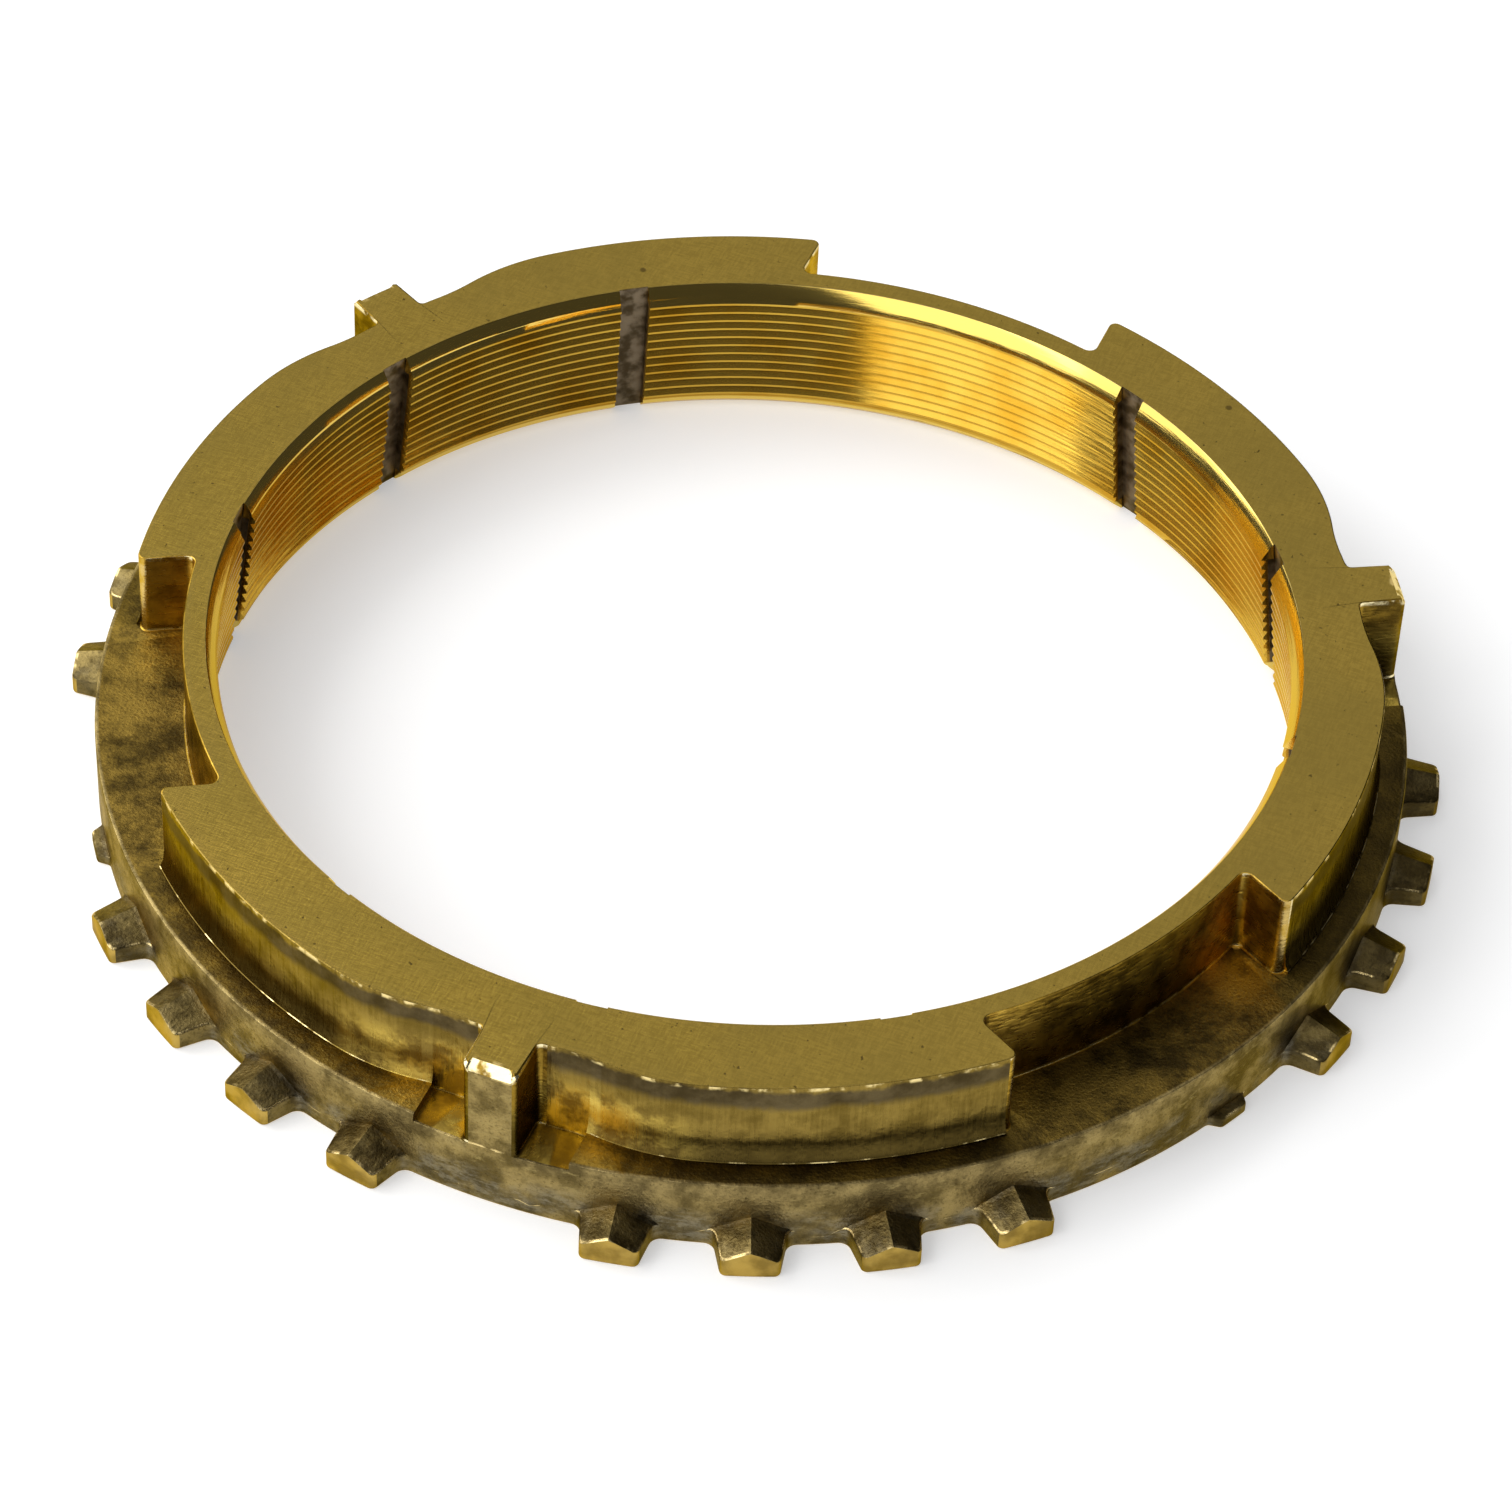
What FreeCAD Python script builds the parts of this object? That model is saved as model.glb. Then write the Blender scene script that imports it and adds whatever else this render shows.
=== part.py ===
"""A brass synchronizer ring of a manual gearbox: one forging, turned, milled and threaded.

The ring stands on its wide end. A tapered bore runs through it, wider at the bottom, with slots for
the oil. Round the bottom runs a flange with clutch teeth, left out below the key notches and the lugs.
Above the flange stands a wall with three deep notches for the keys and three narrow lugs.
The origin is the centre of the bottom face, +Z points up, and one lug points along -Y.
All lengths are in millimetres and all angles in degrees.
"""

import os
import FreeCAD, Part
import Sketcher
from FreeCAD import Vector
from math import acos, cos, degrees, radians, sin, sqrt

doc = FreeCAD.newDocument("SynchronizerRing")

DRIVING_SIZES = {
    # heights above the bottom face
    "ring_height": 9.2,
    "flange_height": 4.2,
    # the tapered bore, measured on the crests of its thread
    "cone_top_radius": 27.45,
    "cone_half_angle": 7.0,
    "lead_in_width": 0.55,
    "lead_in_height": 1.0,
    "bottom_bevel": 0.7,
    # what stands outside the cone's top, layer on layer: the notches' inner wall, the wall beside the
    # lugs, the rest of the wall, the flange's ledge and the teeth
    "notch_wall_thickness": 1.75,
    "relief_thickness": 2.1,
    "relief_depth": 0.9,
    "flange_ledge": 1.65,
    "tooth_reach": 2.0,
    # oil slots along the cone, in one group to each sector
    "slot_width": 1.6,
    "slot_depth": 0.75,
    "slot_spacing": 30.0,
    "slots_in_group": 3,
    "slot_offset": 5.6,
    # what repeats round the ring
    "sector_count": 3,
    "tooth_places": 33,
    "teeth_in_row": 4,
    "rows_in_sector": 2,
    # key notches
    "notch_width": 17.0,
    "notch_corner_radius": 0.45,
    "notch_mouth_radius": 0.4,
    # lugs
    "lug_width": 2.8,
    "lug_corner_radius": 0.35,
    "lug_root_radius": 0.3,
    "lug_edge_bevel": 0.3,
    # the wall steps back on both sides of each lug, in a smooth double bend
    "relief_half_angle": 4.5,
    "relief_bend_radius": 12.0,
    # a shallow pocket is milled into the flange round each lug's foot
    "pocket_width": 8.1,
    "pocket_depth": 0.5,
    "pocket_clearance": 0.05,
    # the wall's foot flares out to a low lip on the flange
    "lip_width": 0.3,
    "lip_height": 0.12,
    "flare_width": 0.26,
    "flare_height": 1.1,
    "flange_edge_bevel": 0.15,
    # clutch teeth
    "tooth_root_width": 3.55,
    "tooth_tip_width": 2.85,
    "tooth_height": 2.05,
    "tooth_height_drop": 0.4,
    "tooth_roof_rise": 0.9,
    "tooth_corner_radius": 0.35,
    "tooth_root_radius": 0.6,
    # the low stub that is left of one tooth below each notch
    "stub_root_width": 2.5,
    "stub_tip_width": 1.7,
    "stub_reach": 0.6,
    "stub_height": 0.6,
    "stub_corner_radius": 0.3,
    "stub_place": 6,
}

sheet = doc.addObject("Spreadsheet::Sheet", "Size")
for row, (name, number) in enumerate(DRIVING_SIZES.items(), start=1):
    sheet.set(f"A{row}", name.replace("_", " "))
    sheet.set(f"B{row}", str(number))
    sheet.setAlias(f"B{row}", name)
doc.recompute()

ring = doc.addObject("PartDesign::Body", "SynchronizerRing")
ring.Label = "synchronizer_ring"
PLANES = {feature.Role: feature for feature in ring.Origin.OriginFeatures}
TINY = 0.001


def size(expression):
    """Return the number that an expression of the sheet's names comes to."""
    return float(ring.evalExpression(expression))


def new_sketch(name, plane="XY_Plane", height="0", turn="0"):
    """Add a sketch on one of the body's planes, raised by height and turned about its normal."""
    sketch = ring.newObject("Sketcher::SketchObject", name)
    sketch.AttachmentSupport = [(PLANES[plane], "")]
    sketch.MapMode = "FlatFace"
    sketch.setExpression("AttachmentOffset.Base.z", height)
    sketch.setExpression("AttachmentOffset.Rotation.Angle", turn)
    return sketch


def draw_polygon(sketch, corners):
    """Draw a closed polygon, each corner held at an x and a y of the sheet."""
    points = [Vector(size(x), size(y), 0) for x, y in corners]
    for start, end in zip(points, points[1:] + points[:1]):
        sketch.addGeometry(Part.LineSegment(start, end))
    for line in range(len(points)):
        following = (line + 1) % len(points)
        sketch.addConstraint(Sketcher.Constraint("Coincident", line, 2, following, 1))
    for line, corner in enumerate(corners):
        for kind, expression in zip(("DistanceX", "DistanceY"), corner):
            dimension = Sketcher.Constraint(kind, line, 1, size(expression))
            index = sketch.addConstraint(dimension)
            sketch.setExpression(f"Constraints[{index}]", expression)


def polar(radius, angle):
    """Return the point at a radius and at an angle from the Y axis towards +X."""
    return Vector(radius * sin(radians(angle)), radius * cos(radians(angle)), 0)


def mirrored(point):
    """Return the point on the other side of the Y axis."""
    return Vector(-point.x, point.y, 0)


def join(start, end, center):
    """Return the line from start to end, or the shorter arc round a center where there is one."""
    if center is None:
        return Part.LineSegment(start, end)
    outward = (start - center + end - center).normalize()
    middle = center + outward * start.distanceToPoint(center)
    return Part.Arc(start, middle, end)


def draw_mirrored(sketch, root_center, half):
    """Draw a closed outline round the sketch's Y axis from its half on the side of +X.

    half goes outward in pairs of a point and the center of the arc that leads on from it, with None
    where a straight line does. The last center leads across to the mirror image of the last point,
    and root_center from the mirror image of the first point back to the first.
    """
    outline = []
    for (start, center), (end, _) in zip(half, half[1:]):
        other_center = None if center is None else mirrored(center)
        outline.append(join(start, end, center))
        outline.append(join(mirrored(start), mirrored(end), other_center))
    first, last = half[0][0], half[-1][0]
    outline.append(join(mirrored(first), first, root_center))
    outline.append(join(last, mirrored(last), half[-1][1]))
    for curve in outline:
        index = sketch.addGeometry(curve)
        sketch.addConstraint(Sketcher.Constraint("Block", index))


TOWARDS_FLOOR = True


def extrude(kind, name, sketch, length, towards_floor=False):
    """Pad or pocket a sketch by a length, upwards unless it goes towards the floor."""
    feature = ring.newObject(kind, name)
    feature.Profile = sketch
    feature.setExpression("Length", length)
    pad = kind == "PartDesign::Pad"
    feature.Reversed = towards_floor if pad else not towards_floor
    return feature


def repeat(name, features, *patterns):
    """Repeat features round the ring's axis by each pattern of a count and a spacing in turn."""
    transform = ring.newObject("PartDesign::MultiTransform", name)
    steps = []
    for number, (count, spacing) in enumerate(patterns):
        step = doc.addObject("PartDesign::PolarPattern", f"{name}Turn{number}")
        step.Axis = (PLANES["Z_Axis"], [""])
        step.Mode = "Spacing"
        step.setExpression("Occurrences", count)
        step.setExpression("Offset", spacing)
        steps.append(step)
    transform.Originals = features
    transform.Refine = len(patterns) == 1
    transform.Transformations = steps
    ring.Tip = transform
    doc.recompute()
    return transform


ORIGIN = Vector()
NOTCH_RADIUS = "Size.cone_top_radius + Size.notch_wall_thickness"
RELIEF_RADIUS = f"{NOTCH_RADIUS} + Size.relief_thickness"
WALL_RADIUS = f"{RELIEF_RADIUS} + Size.relief_depth"
FLANGE_RADIUS = f"{WALL_RADIUS} + Size.flange_ledge"
TOOTH_TIP_RADIUS = f"{FLANGE_RADIUS} + Size.tooth_reach"
LUG_TURN = "180 / Size.sector_count"
TOOTH_PITCH = "360 / Size.tooth_places"
ALL_SECTORS = ("Size.sector_count", "360 / Size.sector_count")


def draw_spur(sketch, root_radius, tip_radius, root_width, tip_width, root_round, corner_round):
    """Draw a tooth or lug from above: round roots, straight flanks and round outer corners."""
    root, tip = size(root_radius), size(tip_radius)
    root_round, corner_round = size(root_round), size(corner_round)
    flank_foot = Vector(size(root_width) / 2, root, 0)
    flank = (Vector(size(tip_width) / 2, tip, 0) - flank_foot).normalize()
    sideways = Vector(flank.y, -flank.x, 0)
    flank_distance = sideways.dot(flank_foot)

    def beside_flank(gap, radius):
        """Return the point at a gap from the flank's line and at a radius from the ring's axis."""
        distance = flank_distance + gap
        return sideways * distance + flank * sqrt(radius ** 2 - distance ** 2)

    root_center = beside_flank(root_round, root + root_round)
    corner_center = beside_flank(-corner_round, tip - corner_round)
    towards_root = Vector(root_center).normalize()
    half = [
        (towards_root * size(NOTCH_RADIUS), None),
        (towards_root * root, root_center),
        (root_center - sideways * root_round, None),
        (corner_center + sideways * corner_round, corner_center),
        (Vector(corner_center).normalize() * tip, ORIGIN),
    ]
    draw_mirrored(sketch, None, half)


# The clutch teeth are made first, on a low disc that the turned body then takes in.
core_sketch = new_sketch("CoreSketch")
core_circle = core_sketch.addGeometry(Part.Circle(ORIGIN, Vector(0, 0, 1), size(WALL_RADIUS)))
core_sketch.addConstraint(Sketcher.Constraint("Coincident", core_circle, 3, -1, 1))
core_sketch.addConstraint(Sketcher.Constraint("Radius", core_circle, size(WALL_RADIUS)))
core_sketch.setExpression("Constraints[1]", WALL_RADIUS)
extrude("PartDesign::Pad", "Core", core_sketch, "Size.bottom_bevel")

first_tooth_turn = f"{LUG_TURN} + {TOOTH_PITCH}"
tooth_sketch = new_sketch("ToothSketch", turn=first_tooth_turn)
draw_spur(
    tooth_sketch,
    FLANGE_RADIUS,
    TOOTH_TIP_RADIUS,
    "Size.tooth_root_width",
    "Size.tooth_tip_width",
    "Size.tooth_root_radius",
    "Size.tooth_corner_radius",
)
tooth = extrude("PartDesign::Pad", "Tooth", tooth_sketch, "Size.tooth_height")


def roof_section(name, radius):
    """Sketch what is cut off above the tooth's two roof slopes, seen along the tooth at a radius."""
    sketch = ring.newObject("Sketcher::SketchObject", name)
    sketch.AttachmentSupport = [(PLANES["XZ_Plane"], "")]
    sketch.MapMode = "FlatFace"
    sketch.AttachmentOffset = FreeCAD.Placement(ORIGIN, FreeCAD.Rotation(Vector(0, 1, 0), 1))
    sketch.setExpression("AttachmentOffset.Rotation.Angle", first_tooth_turn)
    sketch.setExpression("AttachmentOffset.Base.x", f"-({radius}) * sin({first_tooth_turn})")
    sketch.setExpression("AttachmentOffset.Base.z", f"-({radius}) * cos({first_tooth_turn})")
    way_out = f"({radius} - ({FLANGE_RADIUS})) / Size.tooth_reach"
    ridge = f"Size.tooth_height - Size.tooth_height_drop * {way_out}"
    reach = "Size.tooth_root_width"
    eaves = f"{ridge} - 2 * Size.tooth_roof_rise"
    above = "Size.flange_height"
    right = [(reach, eaves), (reach, above)]
    left = [(f"-{reach}", above), (f"-{reach}", eaves)]
    draw_polygon(sketch, [("0", ridge), *right, *left])
    return sketch


roof = ring.newObject("PartDesign::SubtractiveLoft", "ToothRoof")
roof.Profile = roof_section("RoofInnerSketch", NOTCH_RADIUS)
roof.Sections = [roof_section("RoofOuterSketch", f"{TOOTH_TIP_RADIUS} + Size.tooth_root_radius")]
roof.Ruled = True
doc.recompute()

repeat(
    "Teeth",
    [tooth, roof],
    ("Size.teeth_in_row", TOOTH_PITCH),
    ("Size.rows_in_sector", f"Size.stub_place * {TOOTH_PITCH}"),
    ALL_SECTORS,
)

stub_sketch = new_sketch("StubSketch", turn=f"{LUG_TURN} + Size.stub_place * {TOOTH_PITCH}")
draw_spur(
    stub_sketch,
    FLANGE_RADIUS,
    f"{FLANGE_RADIUS} + Size.stub_reach",
    "Size.stub_root_width",
    "Size.stub_tip_width",
    "Size.stub_corner_radius",
    "Size.stub_corner_radius",
)
stub = extrude("PartDesign::Pad", "Stub", stub_sketch, "Size.stub_height")
repeat("Stubs", [stub], ALL_SECTORS)

# The turned outside: the flange with its bevelled edge, the low lip on it, and the wall above.
outside_sketch = new_sketch("OutsideSketch", "XZ_Plane")
lip_top = "Size.flange_height + Size.lip_height"
lip_radius = f"{WALL_RADIUS} + Size.lip_width"
draw_polygon(
    outside_sketch,
    [
        ("0", "0"),
        (FLANGE_RADIUS, "0"),
        (FLANGE_RADIUS, "Size.flange_height - Size.flange_edge_bevel"),
        (f"{FLANGE_RADIUS} - Size.flange_edge_bevel", "Size.flange_height"),
        (lip_radius, "Size.flange_height"),
        (lip_radius, lip_top),
        (WALL_RADIUS, lip_top),
        (WALL_RADIUS, "Size.ring_height"),
        ("0", "Size.ring_height"),
    ],
)
outside = ring.newObject("PartDesign::Revolution", "Outside")
outside.Profile = outside_sketch
outside.ReferenceAxis = (outside_sketch, ["V_Axis"])
outside.Angle = 360
doc.recompute()


def draw_relief(sketch, offset):
    """Draw what is cut off the wall round a lug: inner arc, double bend each side, outer arc."""
    inner = size(f"{RELIEF_RADIUS} + {offset}")
    outer = size(f"{WALL_RADIUS} + {offset}")
    bend = size("Size.relief_bend_radius")
    to_hollow = size(RELIEF_RADIUS) + bend
    to_crown = size(WALL_RADIUS) - bend
    hollow_angle = size("Size.relief_half_angle")
    cosine = (to_hollow ** 2 + to_crown ** 2 - (2 * bend) ** 2) / (2 * to_hollow * to_crown)
    crown_angle = hollow_angle + degrees(acos(cosine))
    hollow_center = polar(to_hollow, hollow_angle)
    crown_center = polar(to_crown, crown_angle)
    hollow_bend = bend - size(offset)
    turning_point = hollow_center + (crown_center - hollow_center).normalize() * hollow_bend
    half = [
        (polar(inner, hollow_angle), hollow_center),
        (turning_point, crown_center),
        (polar(outer, crown_angle), None),
        (polar(outer + bend, crown_angle), ORIGIN),
    ]
    draw_mirrored(sketch, ORIGIN, half)


wall_relief_sketch = new_sketch("WallReliefSketch", height="Size.ring_height", turn=LUG_TURN)
draw_relief(wall_relief_sketch, "0")
above_lip = f"Size.ring_height - ({lip_top})"
wall_relief = extrude("PartDesign::Pocket", "WallRelief", wall_relief_sketch, above_lip, TOWARDS_FLOOR)
lip_relief_sketch = new_sketch("LipReliefSketch", height=lip_top, turn=LUG_TURN)
draw_relief(lip_relief_sketch, "Size.lip_width")
lip_relief = extrude(
    "PartDesign::Pocket", "LipRelief", lip_relief_sketch, "Size.lip_height", TOWARDS_FLOOR
)
repeat("Reliefs", [wall_relief, lip_relief], ALL_SECTORS)


def edge_names(feature, wanted):
    """Return the names of the feature's edges that a test picks."""
    edges = feature.Shape.Edges
    return [f"Edge{number}" for number, edge in enumerate(edges, start=1) if wanted(edge)]


def lies_at(edge, height):
    """Tell whether an edge lies flat at a height."""
    box = edge.BoundBox
    return abs(box.ZMin - height) < TINY and abs(box.ZMax - height) < TINY


reliefs = ring.Tip
wall_height = size(above_lip)
wall_edges = [
    edge
    for face in reliefs.Shape.Faces
    if face.BoundBox.ZLength > wall_height - TINY
    for edge in face.Edges
]
foot_height = size(lip_top)
foot = ring.newObject("PartDesign::Chamfer", "Foot")
foot.Base = (
    reliefs,
    edge_names(
        reliefs,
        lambda edge: lies_at(edge, foot_height) and any(edge.isSame(other) for other in wall_edges),
    ),
)
foot.ChamferType = "Two distances"
foot.FlipDirection = True
foot.setExpression("Size", "Size.flare_height")
foot.setExpression("Size2", "Size.flare_width")
doc.recompute()

# The pocket round each lug's foot clears the lip and the flare and runs out over the flange's edge.
pocket_sketch = new_sketch("PocketSketch", height=f"{lip_top} + Size.flare_height", turn=LUG_TURN)
pocket_half = size("Size.pocket_width / 2")
pocket_back = size(f"{RELIEF_RADIUS} + Size.pocket_clearance")
pocket_end = size(TOOTH_TIP_RADIUS)
draw_mirrored(
    pocket_sketch,
    ORIGIN,
    [
        (Vector(pocket_half, sqrt(pocket_back ** 2 - pocket_half ** 2), 0), None),
        (Vector(pocket_half, pocket_end, 0), None),
    ],
)
pocket_length = "Size.lip_height + Size.flare_height + Size.pocket_depth"
pocket = extrude("PartDesign::Pocket", "LugPocket", pocket_sketch, pocket_length, TOWARDS_FLOOR)
repeat("LugPockets", [pocket], ALL_SECTORS)

lug_sketch = new_sketch("LugSketch", height="Size.ring_height", turn=LUG_TURN)
draw_spur(
    lug_sketch,
    RELIEF_RADIUS,
    FLANGE_RADIUS,
    "Size.lug_width",
    "Size.lug_width",
    "Size.lug_root_radius",
    "Size.lug_corner_radius",
)
lug_length = "Size.ring_height - Size.flange_height + Size.pocket_depth"
lug = extrude("PartDesign::Pad", "Lug", lug_sketch, lug_length, TOWARDS_FLOOR)
repeat("Lugs", [lug], ALL_SECTORS)

# The key notches are cut down to the flange, with parallel sides and a thin wall left at the bore.
notch_sketch = new_sketch("NotchSketch", height="Size.ring_height")
notch_half = size("Size.notch_width / 2")
notch_wall, wall = size(NOTCH_RADIUS), size(WALL_RADIUS)
corner, mouth = size("Size.notch_corner_radius"), size("Size.notch_mouth_radius")
corner_aside = notch_half - corner
corner_center = Vector(corner_aside, sqrt((notch_wall + corner) ** 2 - corner_aside ** 2), 0)
mouth_aside = notch_half + mouth
mouth_center = Vector(mouth_aside, sqrt((wall - mouth) ** 2 - mouth_aside ** 2), 0)
mouth_direction = Vector(mouth_center).normalize()
draw_mirrored(
    notch_sketch,
    ORIGIN,
    [
        (Vector(corner_center).normalize() * notch_wall, corner_center),
        (corner_center + Vector(corner, 0, 0), None),
        (mouth_center - Vector(mouth, 0, 0), mouth_center),
        (mouth_direction * wall, None),
        (mouth_direction * size(TOOTH_TIP_RADIUS), ORIGIN),
    ],
)
notch_depth = "Size.ring_height - Size.flange_height"
notch = extrude("PartDesign::Pocket", "Notch", notch_sketch, notch_depth, TOWARDS_FLOOR)
repeat("Notches", [notch], ALL_SECTORS)

# The bore: a bevel at the bottom, the long taper, and a short steep lead-in at the top.
bore_sketch = new_sketch("BoreSketch", "XZ_Plane")
taper = "tan(Size.cone_half_angle)"
cone_top = "Size.ring_height - Size.lead_in_height"
cone_bottom_radius = f"Size.cone_top_radius + ({cone_top} - Size.bottom_bevel) * {taper}"
draw_polygon(
    bore_sketch,
    [
        ("0", "0"),
        (f"{cone_bottom_radius} + Size.bottom_bevel", "0"),
        (cone_bottom_radius, "Size.bottom_bevel"),
        ("Size.cone_top_radius", cone_top),
        ("Size.cone_top_radius + Size.lead_in_width", "Size.ring_height"),
        ("0", "Size.ring_height"),
    ],
)
bore = ring.newObject("PartDesign::Groove", "Bore")
bore.Profile = bore_sketch
bore.ReferenceAxis = (bore_sketch, ["V_Axis"])
bore.Angle = 360
doc.recompute()


def slot_section(name, height):
    """Sketch an oil slot at a height, with its floor at the slot's depth below the cone."""
    sketch = new_sketch(name, height=height, turn=f"{LUG_TURN} + Size.slot_offset - Size.slot_spacing")
    floor = f"Size.cone_top_radius + ({cone_top} - ({height})) * {taper} + Size.slot_depth"
    inside = "Size.cone_top_radius - Size.slot_depth"
    half = "Size.slot_width / 2"
    draw_polygon(sketch, [(half, inside), (half, floor), (f"-{half}", floor), (f"-{half}", inside)])
    return sketch


slot = ring.newObject("PartDesign::SubtractiveLoft", "OilSlot")
slot.Profile = slot_section("SlotFootSketch", "0")
slot.Sections = [slot_section("SlotHeadSketch", "Size.ring_height")]
slot.Ruled = True
doc.recompute()
repeat("OilSlots", [slot], ("Size.slots_in_group", "Size.slot_spacing"), ALL_SECTORS)

# Each lug's outer top edge is bevelled.
bevel_sketch = new_sketch("LugBevelSketch", "XZ_Plane")
bevel_foot = "Size.ring_height - Size.lug_edge_bevel"
beyond_lug = f"{FLANGE_RADIUS} + Size.lug_edge_bevel"
draw_polygon(
    bevel_sketch,
    [
        (f"{FLANGE_RADIUS} - Size.lug_edge_bevel", "Size.ring_height"),
        (FLANGE_RADIUS, bevel_foot),
        (beyond_lug, bevel_foot),
        (beyond_lug, "Size.ring_height"),
    ],
)
bevel = ring.newObject("PartDesign::Groove", "LugBevel")
bevel.Profile = bevel_sketch
bevel.ReferenceAxis = (bevel_sketch, ["V_Axis"])
bevel.Angle = 360
ring.Tip = bevel
doc.recompute()

for made in doc.Objects:
    if "Invalid" in made.State or "Error" in made.State:
        raise RuntimeError(f"{made.Label} was not built")
if not ring.Shape.isValid() or len(ring.Shape.Solids) != 1:
    raise RuntimeError(f"{ring.Label} is not one sound solid")

os.makedirs("parts", exist_ok=True)
ring.Shape.exportStep(f"parts/{ring.Label}.step")
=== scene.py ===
"""A brass synchronizer ring of a manual gearbox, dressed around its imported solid.

The ring is one forging. Its skin is worked out as three closed bands of surface, the bore, the
toothed flange and the notched wall, which are then joined edge to edge. Plans are drawn in complex
numbers, in millimetres, with the ring's axis at zero, and become metres when the mesh is made.
"""

import bmesh
import bpy
import numpy as np
from mathutils import Matrix, Vector


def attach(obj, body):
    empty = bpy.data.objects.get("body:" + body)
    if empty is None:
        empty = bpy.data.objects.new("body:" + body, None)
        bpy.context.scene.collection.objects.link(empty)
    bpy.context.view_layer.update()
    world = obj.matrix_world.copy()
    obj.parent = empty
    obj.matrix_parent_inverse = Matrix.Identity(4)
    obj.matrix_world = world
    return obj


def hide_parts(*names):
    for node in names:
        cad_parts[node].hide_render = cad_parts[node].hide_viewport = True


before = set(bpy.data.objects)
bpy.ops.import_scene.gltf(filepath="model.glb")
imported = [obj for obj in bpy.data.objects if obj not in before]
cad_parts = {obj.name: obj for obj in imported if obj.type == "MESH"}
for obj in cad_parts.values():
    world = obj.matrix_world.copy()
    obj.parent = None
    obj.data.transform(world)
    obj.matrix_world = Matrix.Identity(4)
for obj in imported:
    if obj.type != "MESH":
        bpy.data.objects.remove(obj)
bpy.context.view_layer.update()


# The tapered bore. A fine thread is cut on the taper, so that it wipes the oil off the gear's cone,
# and nine slots milled along it let the oil out. A short steep lead-in opens the narrow end, and a
# bevel opens the wide one.
RING_HEIGHT = 9.2
LUG_ANGLE = -90.0
SECTOR = 120.0
CONE_TOP_RADIUS = 27.45
CONE_TOP_HEIGHT = 8.2
CONE_SLOPE = np.tan(np.radians(7.0))
LEAD_IN_SLOPE = 0.55
BEVEL_HEIGHT = 0.7
THREAD_PITCH = 0.635
THREAD_DEPTH = 0.24
THREAD_SPAN = (0.3, 8.6)
THREAD_CORNERS = (0.0, 0.22, 0.36, 0.44, 1.0)
SLOT_HALF_WIDTH = 0.8
SLOT_DEPTH = 0.75
SLOT_ANGLES = (-24.4, 5.6, 35.6)
BORE_STEP = 1.25
BROKEN_EDGE = 0.06
RIM_RADII = (28.2, 29.3)


def turned(angle):
    """Return the unit complex number at an angle in degrees."""
    return np.exp(1j * np.radians(angle))


def cone_radius(height):
    """Radius of the taper at a height: it widens evenly towards the floor."""
    return CONE_TOP_RADIUS + (CONE_TOP_HEIGHT - height) * CONE_SLOPE


def thread_cut(turns):
    """Cut of the thread, 0 to 1, after some turns: a narrow crest, a steep fall, a slow rise."""
    return np.interp(turns % 1.0, THREAD_CORNERS, (0.0, 0.0, 1.0, 1.0, 0.0))


def bore_radius(height, turns):
    """Radius of the bore: the widest of the threaded taper, the lead-in and the bottom bevel."""
    threaded = cone_radius(height) + THREAD_DEPTH * thread_cut(turns)
    lead_in = CONE_TOP_RADIUS + (height - CONE_TOP_HEIGHT) * LEAD_IN_SLOPE
    bevel = cone_radius(BEVEL_HEIGHT) + BEVEL_HEIGHT - height
    return np.maximum(np.maximum(threaded, lead_in), bevel)


def bore_columns():
    """Places round the bore in order: angle, sideways step from it, and whether it is in a slot."""
    centres = [LUG_ANGLE + angle + SECTOR * sector for sector in range(3) for angle in SLOT_ANGLES]
    steps = SLOT_HALF_WIDTH * np.array([-1, -1, -0.4, 0.4, 1, 1])
    angles, sideways, in_slot = [], [], []
    for centre, following in zip(centres, centres[1:] + [centres[0] + 360]):
        plain = np.linspace(centre, following, round((following - centre) / BORE_STEP) + 1)[2:-2]
        angles += [np.full(steps.size, centre), plain]
        sideways += [steps, np.zeros(plain.size)]
        in_slot += [np.abs(np.arange(steps.size) - 2.5) < 2, np.zeros(plain.size, bool)]
    return np.concatenate(angles), np.concatenate(sideways), np.concatenate(in_slot)


bore_angle, bore_sideways, in_slot = bore_columns()
bore_phase = (bore_angle - bore_angle[0]) / 360 + bore_sideways / (2 * np.pi * CONE_TOP_RADIUS)
bore_phase %= 1
ridge_count = int(np.ceil((THREAD_SPAN[1] - THREAD_SPAN[0]) / THREAD_PITCH)) + 2
ridge_turns = np.add.outer(np.arange(ridge_count), THREAD_CORNERS[:-1]).reshape(-1, 1)
thread_rows = THREAD_SPAN[1] + THREAD_PITCH * (1 - ridge_turns - bore_phase)
edge_rows = np.array([RING_HEIGHT, RING_HEIGHT, RING_HEIGHT - BROKEN_EDGE]).reshape(-1, 1)
foot_rows = np.array([BROKEN_EDGE, 0.0, 0.0]).reshape(-1, 1)
bore_height = np.concatenate(
    [
        edge_rows + 0 * bore_phase,
        np.clip(thread_rows, *THREAD_SPAN),
        foot_rows + 0 * bore_phase,
    ]
)
bore_plan = bore_radius(bore_height, (THREAD_SPAN[1] - bore_height) / THREAD_PITCH - bore_phase + 1)
slot_floor = cone_radius(bore_height) + SLOT_DEPTH
bore_plan = np.where(in_slot, np.maximum(bore_plan, slot_floor), bore_plan)
bore_plan[0], bore_plan[-1] = RIM_RADII
bore_plan[[1, -2]] += BROKEN_EDGE * LEAD_IN_SLOPE
bore_points = turned(bore_angle) * (np.sqrt(bore_plan**2 - bore_sideways**2) + 1j * bore_sideways)


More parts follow.
